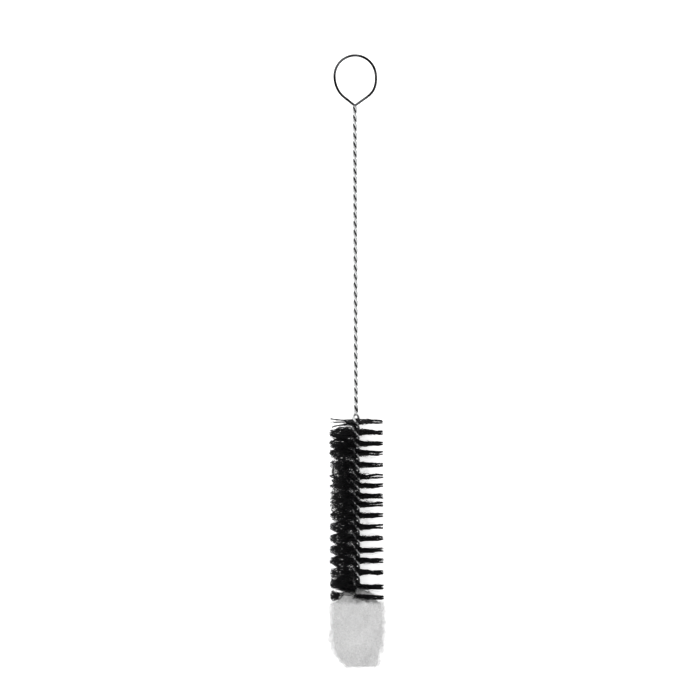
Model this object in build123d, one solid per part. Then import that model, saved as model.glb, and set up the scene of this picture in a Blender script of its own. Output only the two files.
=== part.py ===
from build123d import *
from math import acos, ceil, cos, floor, pi, sin
import os

# A bottle brush, lying on a bench along the Y axis with its hanging loop towards +Y. Its origin is on the bench, under
# the middle of its length. One steel wire makes the loop at its middle, and its two legs are twisted together,
# left-handed. They make the stem, grip the rows of bristles, one row each half turn, and end inside the wool tip.
# Stations are distances in mm from the wool's free end, and half turns are counted from the loop's neck downwards.

# Wire
wire_diameter = 1.27
strand_gap = 0.05           # air between the two legs in the stem, where they are twisted hard together
corner_steps = 4            # corners of the wire's route in each half turn
corner_share = 0.48         # share of the shorter run beside a corner that its arc takes

# Lengths along the axis
overall_length = 300.0
wool_length = 32.6
wire_end = 7.0              # the legs stop this far inside the wool
bore_clearance = 0.5        # from the ends of the legs to the bottom of the wool's bore

# Hanging loop
loop_width = 21.5           # over the wire
loop_depth = 12.3           # of its lower half, an upright half ellipse, along the centre line
neck_drop = 2.1             # from the bottom of that ellipse to the neck, where the loop's two sides meet
loop_corners = 9            # corners of the wire's route round the loop

# Stem
stem_half_turn = 4.3        # wanted length of a half turn, which is then adjusted to a whole number of them

# Bristle rows
row_count = 17
row_pitch = 5.4             # from row to row, on average
row_unevenness = (0, -0.2, -0.7, 0.5, -0.1, -0.8, -0.3, -1.3, -0.1, 0.2, 0.3, 0.2, 0.1, 0.4, 1.6, -0.1)
wool_half_turn = 5.95       # length of a half turn past the last row
row_diameter = 26.8
fan_thickness = 2.0         # of the gathered half of a row
rim_thickness = 3.0         # of the spread half of a row, at its rim
row_gap = 0.3               # air between two spread halves, and between the last row and the wool

# Bristle layer between the legs
layer_thickness = 1.27
layer_clearance = 0.08      # from the layer's solid to each leg
ring_clearance = 0.1        # from the outside of the legs to the rows and the wool
layer_overlap = 0.4         # the layer runs this far into the rows and the wool

# Wool tip
wool_diameter = 27.3
wool_end_flat = 14.0        # diameter of the blunt end
wool_end_height = 12.0
wool_shoulder = 2.5

# Rest
pressed_depth = 0.3         # of the rows' undersides, which the bench presses flat

# Worked out from the values above
axis_height = row_diameter / 2 - pressed_depth
wire_radius = wire_diameter / 2
stem_radius = wire_radius + strand_gap / 2
head_radius = wire_radius + layer_thickness / 2
ring_radius = head_radius + wire_radius + ring_clearance
layer_half_width = ring_radius + layer_overlap
layer_solid_thickness = layer_thickness - 2 * layer_clearance
loop_radius = loop_width / 2 - wire_radius
loop_centre = overall_length - loop_width / 2
neck = loop_centre - loop_depth - neck_drop
last_row = wool_length + row_gap + fan_thickness / 2
row_pitches = [row_pitch + row_unevenness[i % len(row_unevenness)] for i in range(row_count - 1)]
row_stations = [last_row + sum(row_pitches[i:]) for i in range(row_count)]
stem_half_turns = round((neck - row_stations[0]) / stem_half_turn)
twist_start = stem_half_turns - 1.5     # the legs begin to part here, to make room for the bristle layer
twist_parted = stem_half_turns - 0.5    # and here the layer begins


def station(half_turns):
    """The station on the axis that the twist reaches after so many half turns from the neck."""
    row = half_turns - stem_half_turns
    if row <= 0:
        return neck + (row_stations[0] - neck) * half_turns / stem_half_turns
    if row >= row_count - 1:
        return last_row - (row - row_count + 1) * wool_half_turn
    whole = floor(row)
    return row_stations[whole] - (row - whole) * row_pitches[whole]


def half_turns_at(wanted):
    """The half turns from the neck to a station below the last row."""
    return stem_half_turns + row_count - 1 + (last_row - wanted) / wool_half_turn


def place(across, at_station, up):
    """A point of the brush, from its distances across and above the axis and its station."""
    return Vector(across, at_station - overall_length / 2, axis_height + up)


def strand_point(half_turns, side):
    """A point on one leg's centre line. The leg of side 1 is on top at the neck, and side -1 is under it."""
    parted = min(max(half_turns - twist_start, 0) / (twist_parted - twist_start), 1)
    radius = side * (stem_radius + (head_radius - stem_radius) * parted)
    radius /= cos(pi / corner_steps / 2)
    angle = pi * half_turns
    return place(radius * sin(angle), station(half_turns), radius * cos(angle))


def loop_points():
    """Corners of the loop, from the neck up its left side, over the top and down to the neck again."""
    tangent_angle = acos(loop_depth / (loop_depth + neck_drop))
    step = (2 * pi - 2 * tangent_angle) / loop_corners
    points = []
    for i in range(loop_corners):
        angle = tangent_angle + step * (i + 0.5)
        across = -loop_radius * sin(angle) / cos(step / 2)
        down = (loop_depth if cos(angle) > 0 else loop_radius) * cos(angle) / cos(step / 2)
        up = stem_radius * (1 - 2 * (i + 1) / (loop_corners + 1))
        points.append(place(across, loop_centre - down, up))
    return points


def rounded_path(points):
    """Straight runs between the points, with a tangent arc at each corner."""
    edges = []
    start = points[0]
    for before, corner, after in zip(points, points[1:], points[2:]):
        reach = corner_share * min((corner - before).length, (after - corner).length)
        arc_start = corner + (before - corner).normalized() * reach
        arc_end = corner + (after - corner).normalized() * reach
        edges.append(Edge.make_line(start, arc_start))
        edges.append(Edge.make_tangent_arc(arc_start, corner - before, arc_end))
        start = arc_end
    edges.append(Edge.make_line(start, points[-1]))
    return Wire(edges)


def twisted_wire():
    """The whole wire: up one leg, round the loop and down the other leg."""
    steps = floor(half_turns_at(wire_end) * corner_steps)
    leg_up = [strand_point(i / corner_steps, 1) for i in range(steps, -1, -1)]
    leg_down = [strand_point(i / corner_steps, -1) for i in range(steps + 1)]
    path = rounded_path(leg_up + loop_points() + leg_down)
    section = Plane(path @ 0, z_dir=path % 0) * Circle(wire_radius)
    wire = sweep(section, path)
    print("wire volume over section times length", wire.volume / (pi * wire_radius**2 * path.length))
    print("wire length", path.length)
    return wire


def axis_plane(at_station):
    """A sketch plane across the axis: its x runs across the brush, its y up, and its normal to the wool's end."""
    return Plane(place(0, at_station, 0), x_dir=(1, 0, 0), z_dir=(0, -1, 0))


def bristle_layer(from_half_turns, to_half_turns):
    """The layer of fibres gripped between the legs, which turns with them."""
    ends = [from_half_turns]
    ends += [n for n in range(ceil(from_half_turns), ceil(to_half_turns)) if n > from_half_turns]
    ends.append(to_half_turns)
    layer = None
    for start, end in zip(ends, ends[1:]):
        plane = axis_plane(station(start))
        section = plane * Rot(0, 0, -180 * start) * Rectangle(2 * layer_half_width, layer_solid_thickness)
        length = station(start) - station(end)
        twisted = Solid.extrude_linear_with_rotation(
            section.face(), place(0, station(start), 0), Vector(0, -length, 0), -180 * (end - start)
        )
        layer = twisted if layer is None else layer + twisted
    return layer


def turned(corners, from_angle, to_angle):
    """A profile of radius and station, turned about the axis between two angles from straight across to the right."""
    profile = Face(Wire.make_polygon([place(radius, at, 0) for radius, at in corners]))
    axis = Axis(place(0, 0, 0), (0, 1, 0))
    return revolve(profile.rotate(axis, from_angle), axis, to_angle - from_angle)


def pressed_flat(solid):
    """Cuts away what the bench presses flat."""
    return solid.split(Plane.XY, keep=Keep.TOP)


def bristle_row(row):
    """One half turn of bristles: gathered into a flat fan to the right, and spread to the left."""
    half_turns = stem_half_turns + row
    at = row_stations[row]
    rim = row_diameter / 2
    layer_start = half_turns - 0.5
    spread_top = station(layer_start) - row_gap / 2
    if row == row_count - 1:
        layer_end = half_turns_at(wool_length)
        spread_bottom = wool_length + row_gap
    else:
        layer_end = half_turns + 0.5
        spread_bottom = station(layer_end) + row_gap / 2
    fan = turned(
        [
            (ring_radius, at - fan_thickness / 2),
            (rim, at - fan_thickness / 2),
            (rim, at + fan_thickness / 2),
            (ring_radius, at + fan_thickness / 2),
        ],
        -90,
        90,
    )
    spread = turned(
        [
            (ring_radius, spread_bottom),
            (rim, max(at - rim_thickness / 2, spread_bottom)),
            (rim, at + rim_thickness / 2),
            (ring_radius, spread_top),
        ],
        90,
        270,
    )
    return pressed_flat(fan + spread + bristle_layer(layer_start, layer_end))


def wool_tip():
    """The wad of wool, gripped between the legs as the bristles are, with a blunt rounded end."""
    radius = wool_diameter / 2
    end_radius = wool_end_flat / 2
    bore_bottom = wire_end - bore_clearance
    outline = [
        Line((0, 0), (end_radius, 0)),
        EllipticalCenterArc(
            center=(end_radius, wool_end_height),
            x_radius=radius - end_radius,
            y_radius=wool_end_height,
            start_angle=270,
            arc_size=90,
        ),
        Line((radius, wool_end_height), (radius, wool_length - wool_shoulder)),
        CenterArc((radius - wool_shoulder, wool_length - wool_shoulder), wool_shoulder, 0, 90),
        Polyline(
            (radius - wool_shoulder, wool_length),
            (ring_radius, wool_length),
            (ring_radius, bore_bottom),
            (0, bore_bottom),
            (0, 0),
        ),
    ]
    profile = Plane(place(0, 0, 0), x_dir=(1, 0, 0), z_dir=(0, 0, 1)) * make_face(outline)
    wad = revolve(profile, Axis(place(0, 0, 0), (0, 1, 0)), 360)
    return pressed_flat(wad + bristle_layer(half_turns_at(wool_length), half_turns_at(wire_end)))


os.makedirs("parts", exist_ok=True)
export_step(twisted_wire(), "parts/twisted_wire.step")
for row_index in range(row_count):
    export_step(bristle_row(row_index), f"parts/bristle_row_{row_index + 1:02d}.step")
export_step(wool_tip(), "parts/wool_tip.step")
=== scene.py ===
import math
import random

import bpy
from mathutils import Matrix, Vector, noise


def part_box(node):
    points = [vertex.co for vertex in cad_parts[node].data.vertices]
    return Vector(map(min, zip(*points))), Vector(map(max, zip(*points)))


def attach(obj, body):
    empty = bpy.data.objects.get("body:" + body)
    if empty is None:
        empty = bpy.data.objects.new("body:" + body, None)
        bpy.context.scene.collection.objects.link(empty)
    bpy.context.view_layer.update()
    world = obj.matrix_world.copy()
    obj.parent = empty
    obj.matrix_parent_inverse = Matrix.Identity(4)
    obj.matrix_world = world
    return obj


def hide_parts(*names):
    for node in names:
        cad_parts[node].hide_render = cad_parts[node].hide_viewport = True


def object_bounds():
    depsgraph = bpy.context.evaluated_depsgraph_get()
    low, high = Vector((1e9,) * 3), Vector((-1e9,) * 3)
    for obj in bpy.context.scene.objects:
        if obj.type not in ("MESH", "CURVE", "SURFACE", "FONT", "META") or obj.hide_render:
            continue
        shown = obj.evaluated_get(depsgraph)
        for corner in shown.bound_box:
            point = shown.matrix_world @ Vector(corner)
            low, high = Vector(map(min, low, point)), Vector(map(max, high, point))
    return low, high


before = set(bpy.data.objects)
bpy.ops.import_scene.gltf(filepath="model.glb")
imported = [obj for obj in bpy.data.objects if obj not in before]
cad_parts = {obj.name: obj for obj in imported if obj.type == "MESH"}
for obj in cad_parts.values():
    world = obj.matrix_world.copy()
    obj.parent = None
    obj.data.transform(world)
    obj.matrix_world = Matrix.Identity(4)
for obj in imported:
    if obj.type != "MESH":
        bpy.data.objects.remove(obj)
cad_low, cad_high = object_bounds()
millimetre = 0.001


# -----------------------------------------------------------------------------------------------------
# Wire. One length of galvanised mild steel wire is bent into a hanging loop at its middle, and its two
# legs are twisted together: tightly along the stem, and more openly where they grip the bristles
# between them.

wire_radius = 0.635 * millimetre
wire_sides = 12
overall_length = cad_high.y - cad_low.y
wire_low, wire_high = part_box("twisted_wire")
axis_height = (wire_low.z + wire_high.z) / 2
stem_radius = 0.66 * millimetre         # from the axis to a leg's centre line
head_radius = 1.27 * millimetre
parting_start = 1.5                     # half turns above the first row, where the legs start to part
loop_radius = 10.115 * millimetre       # upper half of the loop
loop_depth = 12.3 * millimetre          # lower half, an upright half ellipse
loop_offset = 0.25 * millimetre         # the loop is bent by hand, so it sits a little to the right
bulge_size = 0.6 * millimetre           # and it is fuller at its lower right
bulge_angle, bulge_spread = 5.3, 0.42
neck_drop = 2.1 * millimetre
stem_half_turn = 4.3 * millimetre
row_count = 17
row_pitch = 5.4 * millimetre            # from row to row, on average
row_unevenness = (0, -0.2, -0.7, 0.5, -0.1, -0.8, -0.3, -1.3, -0.1, 0.2, 0.3, 0.2, 0.1, 0.4, 1.6, -0.1)
wool_half_turn = 5.95 * millimetre
last_row = 33.9 * millimetre            # from the wool's free end
wire_end = 7 * millimetre
leg_steps = 10                          # points of a leg's line in each half turn
loop_steps = 44

loop_centre = overall_length - loop_radius - wire_radius
neck = loop_centre - loop_depth - neck_drop
row_pitches = [row_pitch + extra * millimetre for extra in row_unevenness]
row_stations = [last_row + sum(row_pitches[i:]) for i in range(row_count)]
first_half_turns = round((neck - row_stations[0]) / stem_half_turn)


def station(half_turns):
    """How far a place on the twist is from the wool's free end. Half turns count from the loop's neck."""
    if half_turns <= first_half_turns:
        return neck - (neck - row_stations[0]) * half_turns / first_half_turns
    below = half_turns - first_half_turns
    row = int(below)
    if row >= row_count - 1:
        return last_row - wool_half_turn * (below - row_count + 1)
    return row_stations[row] - row_pitches[row] * (below - row)


def place(across, at_station, up):
    """A point from its distance right of the axis, its station and its height over the axis."""
    return Vector((across, cad_low.y + at_station, axis_height + up))


def smooth_step(value):
    """Rises smoothly from 0 to 1 as the value does, and stays at 0 below and at 1 above."""
    value = min(max(value, 0), 1)
    return value * value * (3 - 2 * value)


def leg_point(half_turns, side):
    """A point on the centre line of one of the two legs, whose sides are 1 and -1."""
    parted = smooth_step(half_turns - first_half_turns + parting_start)
    radius = side * (stem_radius + (head_radius - stem_radius) * parted)
    angle = math.pi * half_turns
    return place(radius * math.sin(angle), station(half_turns), radius * math.cos(angle))


def tube_mesh(name, lines, thickness, sides, order):
    """One mesh of round tubes. A line is its points, its share of the thickness at each, and its finish."""
    bpy.ops.object.select_all(action="DESELECT")
    bpy.ops.curve.primitive_nurbs_path_add(location=(0, 0, 0))
    tube = bpy.context.object
    tube.name = name
    curve = tube.data
    curve.splines.clear()
    curve.bevel_depth = thickness / 2
    curve.bevel_resolution = max(sides // 2 - 2, 0)
    curve.resolution_u = 1
    curve.use_fill_caps = True
    for points, shares, finish in lines:
        spline = curve.splines.new("NURBS" if order > 2 else "POLY")
        spline.points.add(len(points) - 1)
        spline.points.foreach_set("co", [c for point in points for c in (*point, 1)])
        spline.points.foreach_set("radius", shares)
        spline.material_index = finish
        if order > 2:
            spline.order_u = order
            spline.use_endpoint_u = True
    bpy.ops.object.convert(target="MESH")
    tube.data.name = name
    return tube


last_half_turns = first_half_turns + row_count - 1 + (last_row - wire_end) / wool_half_turn
leg_points = int(last_half_turns * leg_steps)
wire_line = [leg_point(i / leg_steps, 1) for i in range(leg_points, -1, -1)]
tangent_angle = math.acos(loop_depth / (loop_depth + neck_drop))
for step in range(loop_steps + 1):
    angle = tangent_angle + 2 * (math.pi - tangent_angle) * step / loop_steps
    depth = loop_depth if math.cos(angle) > 0 else loop_radius
    bulge = bulge_size * math.exp(-((angle - bulge_angle) / bulge_spread) ** 2)
    across = -loop_radius * math.sin(angle) + bulge + loop_offset
    height = stem_radius * math.cos(math.pi * step / loop_steps)
    wire_line.append(place(across, loop_centre - depth * math.cos(angle), height))
wire_line += [leg_point(i / leg_steps, -1) for i in range(leg_points + 1)]
wire = tube_mesh("steel_wire", [(wire_line, [1] * len(wire_line), 0)], 2 * wire_radius, wire_sides, 4)


def srgb(colour):
    """An sRGB hex colour as linear red, green, blue and alpha."""
    shares = [int(colour[i:i + 2], 16) / 255 for i in (1, 3, 5)]
    return (*[c / 12.92 if c <= 0.04045 else ((c + 0.055) / 1.055) ** 2.4 for c in shares], 1)


def add_node(material, kind, settings=None, links=None):
    """Adds a node, sets its sockets or its own properties, and links other nodes' outputs to its sockets."""
    node = material.node_tree.nodes.new(kind)
    for key, value in (settings or {}).items():
        if isinstance(key, int) or key in node.inputs:
            node.inputs[key].default_value = value
        else:
            setattr(node, key, value)
    for key, output in (links or {}).items():
        material.node_tree.links.new(output, node.inputs[key])
    return node


def new_material(name):
    """A node material that has no nodes yet."""
    material = bpy.data.materials.new(name)
    material.use_nodes = True
    material.node_tree.nodes.clear()
    return material


# Bright zinc coating on drawn wire: a hard clear shine with duller cloudy patches and drawing marks.
# Painted shade: the groove between the stem's two legs is painted near black, for the shade deep in it.
# Handling has darkened the zinc on the loop, and among the bristles it has a dry white bloom.
zinc_patch = 1.3 * millimetre
stain_size = 8 * millimetre
drawing_mark = 0.25 * millimetre
# where the painted shade in the stem's groove starts to fade and where it is gone
groove_inside, groove_outside = 0.62 * millimetre, 1.02 * millimetre        # from the axis
stem_start = row_stations[0] + 3 * millimetre
tarnish_start, tarnish_full = neck - 1.2 * millimetre, neck + 0.3 * millimetre

galvanised_steel = new_material("galvanised_drawn_steel")
where = add_node(galvanised_steel, "ShaderNodeTexCoord")
patches = add_node(galvanised_steel, "ShaderNodeTexNoise",
                   {"Scale": 1 / zinc_patch, "Detail": 3.0, "Roughness": 0.6},
                   {"Vector": where.outputs["Object"]})
zinc = add_node(galvanised_steel, "ShaderNodeMix",
                {"data_type": "RGBA", 6: srgb("#CCCDCE"), 7: srgb("#F0F1F1")},
                {0: patches.outputs["Fac"]})
from_axis = add_node(galvanised_steel, "ShaderNodeVectorMath",
                     {"operation": "MULTIPLY_ADD", 1: (1, 0, 1), 2: (0, 0, -axis_height)},
                     {0: where.outputs["Object"]})
off_axis = add_node(galvanised_steel, "ShaderNodeVectorMath", {"operation": "LENGTH"},
                    {0: from_axis.outputs["Vector"]})
groove = add_node(galvanised_steel, "ShaderNodeMapRange",
                  {"From Min": groove_inside, "From Max": groove_outside, "To Min": 1.0, "To Max": 0.0},
                  {"Value": off_axis.outputs["Value"]})
along = add_node(galvanised_steel, "ShaderNodeSeparateXYZ", {}, {"Vector": where.outputs["Object"]})
on_stem = add_node(galvanised_steel, "ShaderNodeMath",
                   {"operation": "GREATER_THAN", 1: cad_low.y + stem_start}, {0: along.outputs["Y"]})
stem_groove_shade_mask = add_node(galvanised_steel, "ShaderNodeMath", {"operation": "MULTIPLY"},
                       {0: groove.outputs["Result"], 1: on_stem.outputs[0]})
# painted shade: near black in the groove between the stem's two legs, where shade falls
groove_painted_shade = add_node(galvanised_steel, "ShaderNodeMix", {"data_type": "RGBA", 7: srgb("#161616")},
                 {0: stem_groove_shade_mask.outputs[0], 6: zinc.outputs[2]})
handled = add_node(galvanised_steel, "ShaderNodeMapRange",
                   {"From Min": cad_low.y + tarnish_start, "From Max": cad_low.y + tarnish_full},
                   {"Value": along.outputs["Y"]})
stains = add_node(galvanised_steel, "ShaderNodeTexNoise", {"Scale": 1 / stain_size, "Detail": 1.0},
                  {"Vector": where.outputs["Object"]})
stain_depth = add_node(galvanised_steel, "ShaderNodeMapRange", {"From Min": 0.38, "From Max": 0.6},
                       {"Value": stains.outputs["Fac"]})
tarnish = add_node(galvanised_steel, "ShaderNodeMix",
                   {"data_type": "RGBA", 6: srgb("#5A5B5D"), 7: srgb("#1E1E1F")},
                   {0: stain_depth.outputs["Result"]})
tarnished = add_node(galvanised_steel, "ShaderNodeMix", {"data_type": "RGBA"},
                     {0: handled.outputs["Result"], 6: groove_painted_shade.outputs[2], 7: tarnish.outputs[2]})
dullness = add_node(galvanised_steel, "ShaderNodeMapRange",
                    {"From Min": 0.3, "From Max": 0.7, "To Min": 0.16, "To Max": 0.34},
                    {"Value": patches.outputs["Fac"]})
marks = add_node(galvanised_steel, "ShaderNodeTexNoise", {"Scale": 1 / drawing_mark, "Detail": 2.0},
                 {"Vector": where.outputs["Object"]})
relief = add_node(galvanised_steel, "ShaderNodeBump", {"Strength": 0.12, "Distance": 0.03 * millimetre},
                  {"Height": marks.outputs["Fac"]})
bloom = add_node(galvanised_steel, "ShaderNodeMapRange", {"To Min": 0.85, "To Max": 1.0},
                 {"Value": on_stem.outputs[0]})
metal = add_node(galvanised_steel, "ShaderNodeBsdfPrincipled", {},
                 {"Base Color": tarnished.outputs[2], "Roughness": dullness.outputs["Result"],
                  "Metallic": bloom.outputs["Result"], "Normal": relief.outputs["Normal"]})
add_node(galvanised_steel, "ShaderNodeOutputMaterial", {}, {"Surface": metal.outputs[0]})
wire.data.materials.append(galvanised_steel)

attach(wire, "root")
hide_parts("twisted_wire")


# -----------------------------------------------------------------------------------------------------
# Bristles. Straight black nylon filaments are laid between the two legs before they are twisted, so
# each passes through the middle of the twist and both its ends show. On the right every half turn's
# ends lie together as a thin flat fan, and on the left they have splayed into ragged tufts.

filament = 0.2 * millimetre
filament_sides = 4
filaments_in_row = 205
brush_radius = 13.4 * millimetre
distances = [d * millimetre for d in (1.5, 2.7, 4.0, 5.6, 8.0, 10.7, 13.4)]     # of a filament's points
gather_start = 1.6 * millimetre         # from the axis, where a filament leaves the grip of the wires
tip_thickness = 0.7                     # as a share of the full thickness
stray_share = 0.045                     # of the filaments, those that are bent out of their fan
stray_thickness = 0.5

# The fans on the right. The upper filaments are those of the first half of a half turn.
gather_end = 8.0 * millimetre
upper_gather = 0.62                     # the upper filaments of a fan gather sooner
fan_half_thickness = 0.98 * millimetre
fan_twist = 0.8 * millimetre            # and lie this far towards the stem
fan_ripple = 0.15 * millimetre
fan_pinch = 0.95                        # average share of its thickness that a fan keeps
ripple_rate, bend_rate, pinch_rate = 800, 520, 850      # radians in a metre
right_lean = 1.08                       # both sides' upright filaments lean to the left, off the wire

# The tufts on the left. Looseness is how far a row's splayed side has come undone.
loose_rows = {4: 0.5, 5: 0.9, 6: 1.0, 7: 1.0, 8: 0.7, 9: 0.35}
tidy_looseness = 0.08
lock_looseness = 0.3                    # above it a row's tufts are separate locks
splay_end = 0.45                        # as a share of the brush's radius, as is the next
rim_start = 0.65
curl_rate = 750
loose_swing = 0.3
broken_share = 0.3                      # of the loosest row's filaments, those that end short
tuft_rounding = 0.09                    # how much shorter the outermost filaments of a row are
left_lean = 0.94

# Black nylon filament: a soft dark sheen, a little greyer from filament to filament.
streak_size = 0.6 * millimetre
black_nylon = new_material("black_nylon_filament")
where = add_node(black_nylon, "ShaderNodeTexCoord")
along = add_node(black_nylon, "ShaderNodeMapping", {"Scale": (0.12, 1.0, 0.5)},
                 {"Vector": where.outputs["Object"]})
streaks = add_node(black_nylon, "ShaderNodeTexNoise",
                   {"Scale": 1 / streak_size, "Detail": 2.0, "Roughness": 0.7},
                   {"Vector": along.outputs["Vector"]})
blacks = add_node(black_nylon, "ShaderNodeMix",
                  {"data_type": "RGBA", 6: srgb("#070707"), 7: srgb("#262628")},
                  {0: streaks.outputs["Fac"]})
sheen = add_node(black_nylon, "ShaderNodeBsdfPrincipled", {"Roughness": 0.5, "Specular IOR Level": 0.18},
                 {"Base Color": blacks.outputs[2]})
add_node(black_nylon, "ShaderNodeOutputMaterial", {}, {"Surface": sheen.outputs[0]})

# Pale grey nylon filament: a painted highlight, pale grey that stands in for the shine along the strands of
# the loose locks.
highlight_nylon = new_material("highlight_nylon_filament")
pale_highlight_face = add_node(highlight_nylon, "ShaderNodeBsdfPrincipled",
                   {"Base Color": srgb("#A4A4A4"), "Roughness": 0.6, "Specular IOR Level": 0.4})
add_node(highlight_nylon, "ShaderNodeOutputMaterial", {}, {"Surface": pale_highlight_face.outputs[0]})


def filament_line(draw, row, turn, right_offset, rim_offset, belly, looseness, wave, phase, left_reach):
    """One filament from its left tip to its right tip, as points with a share of its thickness at each."""
    angle = math.pi * turn
    root = station(first_half_turns + row + turn)
    level = row_stations[row]
    beside = draw.uniform(-0.6, 0.25) * millimetre      # its place between the two legs
    lean = draw.gauss(0, 0.06)
    droop = draw.gauss(0, 0.3) * millimetre
    right_reach = draw.uniform(0.97, 1.0)

    def half_line(side):
        points = []
        reach, longest = (right_reach, 1) if side > 0 else (left_reach, left_reach)
        for distance in distances:
            share = distance / brush_radius
            if side > 0:
                gathered = gather_end * (upper_gather if turn < 0 else 1)
                pull = smooth_step((distance - gather_start) / (gathered - gather_start))
                ripple = fan_ripple * math.sin(distance * ripple_rate + phase) * share
                pinch, bend = wave(distance)
                at = root + (level + right_offset * pinch + bend - root) * pull + ripple
                turned = right_lean * angle + lean * share
            else:
                pull = smooth_step((distance - gather_start) / (splay_end * brush_radius))
                rimward = smooth_step((share - rim_start) / (1 - rim_start))
                curl = (0.15 + 0.8 * looseness) * millimetre
                curl *= math.sin(distance * math.cos(angle) * curl_rate + phase)
                at = root + (level + belly + (rim_offset - belly) * rimward - root) * pull + curl * share
                turned = left_lean * angle + (lean + loose_swing * looseness * math.sin(phase * 3)) * share
            length = distance * reach if share > 0.9 else distance
            length = min(length, brush_radius * longest)
            across = side * length * math.cos(turned) + beside * math.sin(angle)
            up = -side * length * math.sin(turned) + beside * math.cos(angle) + droop * share * share
            points.append(place(across, at, max(up, filament / 2 - axis_height)))
        return points

    gripped = place(beside * math.sin(angle), root, beside * math.cos(angle))
    points = [*reversed(half_line(-1)), gripped, *half_line(1)]
    shares = [tip_thickness] + [1] * (len(points) - 2) + [tip_thickness]
    return points, shares


def fan_wave(draw):
    """How one fan wanders and pinches along its length: a function of the distance from the axis."""
    bend_phase, pinch_phase = draw.uniform(0, 6.28), draw.uniform(0, 6.28)
    bend_size = draw.uniform(0.12, 0.32) * millimetre
    pinch_size = draw.uniform(0.15, 0.35)

    def wave(distance):
        bend = bend_size * (math.sin(distance * bend_rate + bend_phase) - math.sin(bend_phase))
        return fan_pinch + pinch_size * math.sin(distance * pinch_rate + pinch_phase), bend

    return wave


for row in range(row_count):
    draw = random.Random(row + 1)
    first, above_wool, last = row == 0, row == row_count - 2, row == row_count - 1
    looseness = loose_rows.get(row, tidy_looseness)
    in_locks = looseness > lock_looseness
    turn_start, turn_range = -0.5, 1
    tuft_width = draw.uniform(1.15, 1.6)
    tufts = [(tuft_width * offset + draw.uniform(-0.2, 0.2)) * millimetre for offset in (-1, 0, 1)]
    strands = [draw.uniform(-0.9, -0.4) * millimetre, draw.uniform(0.4, 0.9) * millimetre]
    row_middle, row_half_height = 0, 2.4 * millimetre
    count, tuft_spread, belly_low, belly_high = filaments_in_row, 0.3, -3.9, 3.2
    if in_locks:
        tufts = [(offset + draw.uniform(-0.3, 0.3)) * millimetre for offset in (-2.2, -0.75, 0.75, 2.2)]
        tuft_spread = 0.15
    if first:                   # sparse, in three bundles
        tufts = [offset * millimetre for offset in (1.6, -0.1, -2.6)]
        count, tuft_spread, belly_low, belly_high = 100, 0.14, -1.0, 0.6
        turn_start = -0.4
    if above_wool:              # thick, and pushed up by the wool
        tufts = [offset * millimetre for offset in (-0.6, 0.6, 1.8, 3.0, 4.2)]
        row_middle, row_half_height = 1.8 * millimetre, 3.0 * millimetre
        count, belly_low, belly_high = 340, -0.6, 4.6
    if last:                    # its lower filaments are inside the wool
        tufts = [offset * millimetre for offset in (-1.0, 0.4, 1.8, 3.2)]
        row_middle, row_half_height = 1.2 * millimetre, 2.6 * millimetre
        count, tuft_spread, belly_low, belly_high = 260, 0.45, -1.0, 2.4
        turn_range = 0.6
    wave = fan_wave(draw)
    lines = []
    for number in range(count):
        turn = turn_start + (number + draw.random()) / count * turn_range
        upright = abs(math.sin(math.pi * turn))
        right = draw.choice(strands) + draw.gauss(0, 0.3) * millimetre
        right = min(max(right, -fan_half_thickness), fan_half_thickness)
        right -= fan_twist * math.sin(math.pi * turn) ** 3
        tuft = draw.randrange(len(tufts))
        rim = tufts[tuft] + draw.gauss(0, tuft_spread) * millimetre
        phase = 2.3 * tuft + 1.7 * row + draw.gauss(0, 0.3 if in_locks else 2)
        belly = draw.uniform(belly_low, belly_high) * millimetre
        if above_wool and turn > 0.1 and draw.random() < 0.55:      # combed down over the wool
            belly = -(0.4 + 4.4 * upright ** 3 * draw.uniform(0.25, 1)) * millimetre
        if first:
            belly = rim * 0.6
        rim += (belly - rim) * smooth_step(upright * 1.5 - 0.35 - 0.35 * looseness)
        stray = draw.random() < stray_share
        if stray:
            right += draw.gauss(0, 1.2) * millimetre
            rim += draw.gauss(0, 1.3) * millimetre
        rounding = min(abs(rim - row_middle) / row_half_height, 1) ** 2
        left_reach = draw.uniform(0.97, 1.0) - tuft_rounding * rounding
        if draw.random() < broken_share * looseness:
            left_reach = draw.uniform(0.5, 0.85)
        points, shares = filament_line(draw, row, turn, right, rim, belly, looseness, wave, phase, left_reach)
        # painted highlight: filaments of the pale locks are given the pale grey nylon, for the shine on the
        # loose locks
        highlight_chance = 0.03
        if tuft % 2 == 1 and turn > 0.05:                           # one of a pale lock
            highlight_chance += 0.9 * looseness * (1 - 0.5 * upright)
        highlight = 1 if draw.random() < highlight_chance else 0
        if stray:
            shares = [stray_thickness * share for share in shares]
        lines.append((points, shares, highlight))
    bristles = tube_mesh(f"bristles_{row + 1:02d}", lines, filament, filament_sides, 2)
    bristles.data.materials.append(black_nylon)
    bristles.data.materials.append(highlight_nylon)
    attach(bristles, "root")
    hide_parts(f"bristle_row_{row + 1:02d}")


# -----------------------------------------------------------------------------------------------------
# Wool tip. A wad of carded white wool is wound round the end of the wires and over the last bristles,
# and cleans the bottom of a bottle. It is soft and blunt, with loose curled fibres all over it.

wool_low, wool_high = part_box("wool_tip")
wool_length = wool_high.y - wool_low.y
wool_radius = (wool_high.x - wool_low.x) / 2
wool_end_flat = 6.8 * millimetre        # radius at the free end
wool_end_rise = 12 * millimetre         # from there to the full radius
wool_end_dome = 0.9 * millimetre
wool_end_shift = 1.7 * millimetre       # the wad is wound a little askew
wool_offset = 0.35 * millimetre         # to the right, all along it
wool_shoulder = 3.5 * millimetre
wool_reach = 5.5 * millimetre           # that its middle reaches up among the last bristles
wool_pressing = 0.5                     # of its height, that the last bristles press out of it there
rings_from, rings_to = 22, 158          # degrees from the sphere's pole, between the wad's two end caps
wad_clearance = 0.05 * millimetre       # over the table
loose_depth = 2.0 * millimetre          # of the loose fibres outside the firm wad
fibre = 0.1 * millimetre                # coarser than real wool, so that it shows
fibre_sides = 4
fibre_count = 3700
wisp_count = 360
wisp_flatness = 0.5                     # height of the ring of wisps as a share of its width


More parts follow.
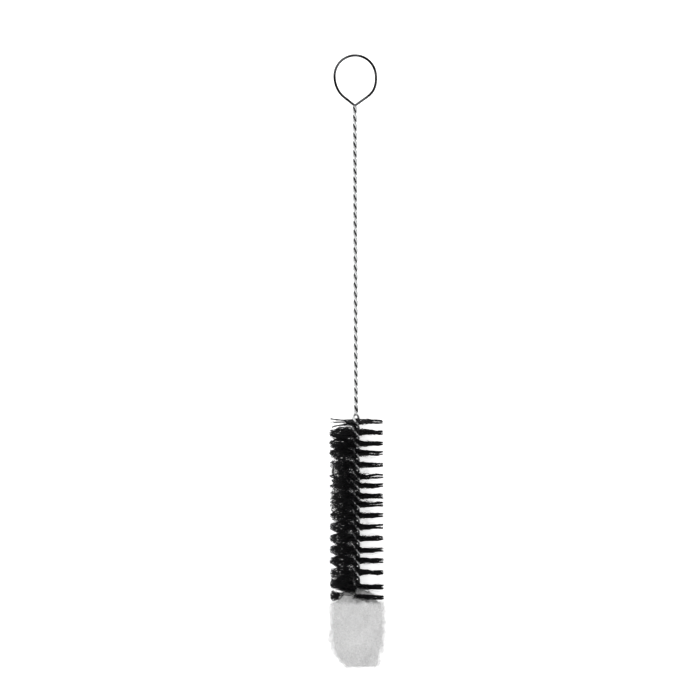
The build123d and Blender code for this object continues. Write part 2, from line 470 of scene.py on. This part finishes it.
def wool_profile(along):
    """Radius of the wad at a distance from its free end."""
    if along < wool_end_rise:
        rise = (max(along, 0) / wool_end_rise) ** 0.55
        return wool_end_flat + (wool_radius - wool_end_flat) * rise
    left = (wool_length - along) / wool_shoulder
    if left < 0:
        middle = math.sqrt(max(1 - (wool_length - along) ** 2 / wool_reach ** 2, 0))
        return (wool_radius - wool_shoulder) * middle
    if left < 1:
        return wool_radius - wool_shoulder * (1 - math.sqrt(max(1 - (1 - left) ** 2, 0)))
    return wool_radius


def wool_askew(along):
    """How far right of the axis the wad's middle lies at a distance from its free end."""
    return wool_offset + wool_end_shift * (1 - smooth_step(along / (0.6 * wool_end_rise)))


bpy.ops.object.select_all(action="DESELECT")
bpy.ops.mesh.primitive_uv_sphere_add(segments=96, ring_count=72, radius=1, location=(0, 0, 0))
wad = bpy.context.object
wad.name = "wool_wad"
wad.data.name = "wool_wad"
for vertex in wad.data.vertices:
    ring = math.degrees(math.acos(min(max(vertex.co.z, -1), 1)))    # 0 at the stem end, 180 at the free end
    spin = math.atan2(vertex.co.y, vertex.co.x)
    if ring > rings_to:
        share = (180 - ring) / (180 - rings_to)
        along, radius = wool_end_dome * share ** 2, wool_profile(wool_end_dome) * share
    elif ring < rings_from:
        quarter = math.pi / 2 * ring / rings_from
        along = wool_length + wool_reach * math.cos(quarter)
        radius = (wool_radius - wool_shoulder) * math.sin(quarter)
    else:
        along = wool_length - (wool_length - wool_end_dome) * (ring - rings_from) / (rings_to - rings_from)
        radius = wool_profile(along)
    point = Vector((radius * math.cos(spin), along, radius * math.sin(spin)))
    lumps = noise.noise(point * 260 + Vector((3, 1, 7))) * 0.4 + noise.noise(point * 700) * 0.15
    swell = 1 + (lumps * millimetre - loose_depth) / wool_radius
    lift = noise.noise(point * 300 + Vector((9, 4, 2))) * 0.8 * millimetre
    pressed = 1 - wool_pressing * smooth_step((along - wool_length + 1.5 * millimetre) / wool_shoulder)
    across, up = point.x * swell + wool_askew(point.y), point.z * swell * pressed
    vertex.co = place(across, max(point.y + lift, 0.3 * millimetre), up)
    vertex.co.z = max(vertex.co.z, wad_clearance)
bpy.ops.object.mode_set(mode="EDIT")
bpy.ops.mesh.select_all(action="SELECT")
bpy.ops.mesh.normals_make_consistent(inside=False)
bpy.ops.object.mode_set(mode="OBJECT")
bpy.ops.object.shade_smooth()


def wool_fibre(draw, start, outward, rise, steps=5):
    """One curled fibre: it starts out from the wad and bends back towards it."""
    sideways = outward.cross(Vector((0, 1, 0))).normalized()
    lengthways = outward.cross(sideways)
    heading = draw.uniform(0, 2 * math.pi)
    curl = draw.choice((-1, 1)) * draw.uniform(0.4, 1.2)
    step_length = draw.uniform(0.45, 0.85) * millimetre
    points = [Vector((start.x, start.y, max(start.z, fibre)))]
    for step in range(steps):
        heading += curl + draw.uniform(-0.3, 0.3)
        tangent = sideways * math.cos(heading) + lengthways * math.sin(heading)
        there = points[-1] + (tangent + outward * (rise - 0.2 * step)).normalized() * step_length
        points.append(Vector((there.x, there.y, max(there.z, fibre))))
    return points, [1] * (steps - 1) + [0.8, 0.5], 0


draw = random.Random(71)
lines = []
for number in range(fibre_count):
    along = (wool_length - 0.5 * millimetre) * draw.random()
    spin = draw.uniform(0, 2 * math.pi)
    radius = wool_profile(along) + 0.3 * millimetre - loose_depth * (1 - draw.random() ** 2)
    outward = Vector((math.cos(spin), 0, math.sin(spin)))
    if along < wool_end_rise:
        outward = (outward + Vector((0, -1.2 * (1 - along / wool_end_rise), 0))).normalized()
    start = place(radius * math.cos(spin) + wool_askew(along), along, radius * math.sin(spin))
    lines.append(wool_fibre(draw, start, outward, draw.uniform(0.1, 1.1)))

# Wisps of the wool that reach in among the last bristles.
for number in range(wisp_count):
    along = wool_length + (wool_reach - 0.2 * millimetre) * draw.random()
    spin = draw.uniform(0, 2 * math.pi)
    radius = wool_profile(along) * draw.uniform(0.85, 0.95)
    outward = Vector((math.cos(spin), draw.uniform(0, 0.6), wisp_flatness * math.sin(spin))).normalized()
    start = place(radius * math.cos(spin), along, wisp_flatness * radius * math.sin(spin))
    lines.append(wool_fibre(draw, start, outward, draw.uniform(0.0, 0.6)))
fluff = tube_mesh("wool_fibres", lines, fibre, fibre_sides, 2)

# Carded wool: no shine of its own, a little mottled, with a pale bloom at its edges.
tangle_size = 1.3 * millimetre
hair_size = 0.35 * millimetre
carded_wool = new_material("carded_wool")
where = add_node(carded_wool, "ShaderNodeTexCoord")
tangle = add_node(carded_wool, "ShaderNodeTexNoise",
                  {"Scale": 1 / tangle_size, "Detail": 5.0, "Roughness": 0.7, "Distortion": 2.0},
                  {"Vector": where.outputs["Object"]})
# painted shade: the wad's greys are darker than its own loose fibres, for the shade inside the dense wool
wad_shade_greys = add_node(carded_wool, "ShaderNodeMix",
                 {"data_type": "RGBA", 6: srgb("#B4B4B4"), 7: srgb("#D2D2D2")},
                 {0: tangle.outputs["Fac"]})
hairs = add_node(carded_wool, "ShaderNodeTexNoise",
                 {"Scale": 1 / hair_size, "Detail": 3.0, "Distortion": 2.5},
                 {"Vector": where.outputs["Object"]})
relief = add_node(carded_wool, "ShaderNodeBump", {"Strength": 0.5, "Distance": 0.25 * millimetre},
                  {"Height": hairs.outputs["Fac"]})
wad_face = add_node(carded_wool, "ShaderNodeBsdfPrincipled",
                    {"Roughness": 0.95, "Specular IOR Level": 0.1, "Sheen Weight": 0.25,
                     "Sheen Roughness": 0.6},
                    {"Base Color": wad_shade_greys.outputs[2], "Normal": relief.outputs["Normal"]})
add_node(carded_wool, "ShaderNodeOutputMaterial", {}, {"Surface": wad_face.outputs[0]})

# Loose wool fibre: whiter than the wad, and it lets light through.
fibre_white = srgb("#EEEEEE")
loose_wool = new_material("loose_wool_fibre")
fibre_face = add_node(loose_wool, "ShaderNodeBsdfPrincipled",
                      {"Base Color": fibre_white, "Roughness": 0.9, "Specular IOR Level": 0.1})
through = add_node(loose_wool, "ShaderNodeBsdfTranslucent", {"Color": fibre_white})
fibre_shader = add_node(loose_wool, "ShaderNodeMixShader", {"Fac": 0.45},
                        {1: fibre_face.outputs[0], 2: through.outputs[0]})
add_node(loose_wool, "ShaderNodeOutputMaterial", {}, {"Surface": fibre_shader.outputs[0]})

for piece, finish in ((wad, carded_wool), (fluff, loose_wool)):
    piece.data.materials.append(finish)
    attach(piece, "root")
    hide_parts("wool_tip")


# -----------------------------------------------------------------------------------------------------
# Table, light and camera. A matt white table top under two wide softboxes, one at each side, in a pale
# room, with a dark screen at the far right that puts contrast in the wire's shine, and a long lens
# looking straight down.

table_size = 8
table_glow = 0.6                        # keeps the table white to the camera, and lights nothing else
bpy.ops.object.select_all(action="DESELECT")
bpy.ops.mesh.primitive_plane_add(size=table_size, location=(0, 0, 0))
table = bpy.context.object
table.name = "table_top"
white_table = new_material("matt_white_table")
rays = add_node(white_table, "ShaderNodeLightPath")
seen = add_node(white_table, "ShaderNodeMath", {"operation": "MAXIMUM"},
                {0: rays.outputs["Is Camera Ray"], 1: rays.outputs["Is Transmission Ray"]})
glow_strength = add_node(white_table, "ShaderNodeMath", {"operation": "MULTIPLY", 1: table_glow},
                         {0: seen.outputs[0]})
paint = add_node(white_table, "ShaderNodeBsdfDiffuse", {"Color": srgb("#E6E6E6")})
glow = add_node(white_table, "ShaderNodeEmission", {"Color": (1, 1, 1, 1)},
                {"Strength": glow_strength.outputs[0]})
both = add_node(white_table, "ShaderNodeAddShader", {}, {0: paint.outputs[0], 1: glow.outputs[0]})
add_node(white_table, "ShaderNodeOutputMaterial", {}, {"Surface": both.outputs[0]})
table.data.materials.append(white_table)

screen_direction = Vector((0.88, 0.42, 0.3)).normalized()
screen_strength = 0.3                   # what is left of the room's light where the screen is
world = bpy.data.worlds.new("pale_room")
world.use_nodes = True
bpy.context.scene.world = world
world.node_tree.nodes.clear()
where = add_node(world, "ShaderNodeTexCoord")
towards_screen = add_node(world, "ShaderNodeVectorMath", {"operation": "DOT_PRODUCT", 1: screen_direction},
                          {0: where.outputs["Generated"]})
screen = add_node(world, "ShaderNodeMapRange",
                  {"interpolation_type": "SMOOTHSTEP", "From Min": 0.5, "From Max": 0.8},
                  {"Value": towards_screen.outputs["Value"]})
rays = add_node(world, "ShaderNodeLightPath")
in_shine = add_node(world, "ShaderNodeMath", {"operation": "MULTIPLY"},
                    {0: rays.outputs["Is Glossy Ray"], 1: screen.outputs["Result"]})
lit = add_node(world, "ShaderNodeMapRange", {"To Min": 1.0, "To Max": screen_strength},
               {"Value": in_shine.outputs[0]})
strength = add_node(world, "ShaderNodeMath", {"operation": "MAXIMUM"},
                    {0: rays.outputs["Is Camera Ray"], 1: lit.outputs["Result"]})
room = add_node(world, "ShaderNodeBackground", {"Color": (1, 1, 1, 1)}, {"Strength": strength.outputs[0]})
add_node(world, "ShaderNodeOutputWorld", {}, {"Surface": room.outputs[0]})

lamp_distance = 0.9
lamp_elevation = math.radians(38)
lamp_width, lamp_length = 0.5, 0.8
lamp_power = 3.0
for name, side in (("softbox_left", -1), ("softbox_right", 1)):
    bpy.ops.object.light_add(type="AREA", location=(
        side * lamp_distance * math.cos(lamp_elevation), 0, lamp_distance * math.sin(lamp_elevation)))
    softbox = bpy.context.object
    softbox.name = name
    softbox.data.shape = "RECTANGLE"
    softbox.data.size = lamp_width
    softbox.data.size_y = lamp_length
    softbox.data.energy = lamp_power
    softbox.visible_glossy = False
    softbox.rotation_euler = (-softbox.location).to_track_quat("-Z", "Y").to_euler()

camera_height = 3.5
camera_across, camera_along = -2.8 * millimetre, 5.2 * millimetre
camera_roll = math.radians(-0.23)
picture_width = 0.3426                  # what the picture spans at the height of the brush's axis
lens = bpy.data.cameras.new("long_lens")
lens.sensor_width = 36
lens.lens = lens.sensor_width * (camera_height - axis_height) / picture_width
camera = bpy.data.objects.new("camera", lens)
camera.location = (camera_across, camera_along, camera_height)
camera.rotation_euler = (0, 0, camera_roll)
bpy.context.scene.collection.objects.link(camera)
bpy.context.scene.camera = camera
bpy.context.scene.view_settings.view_transform = "Standard"
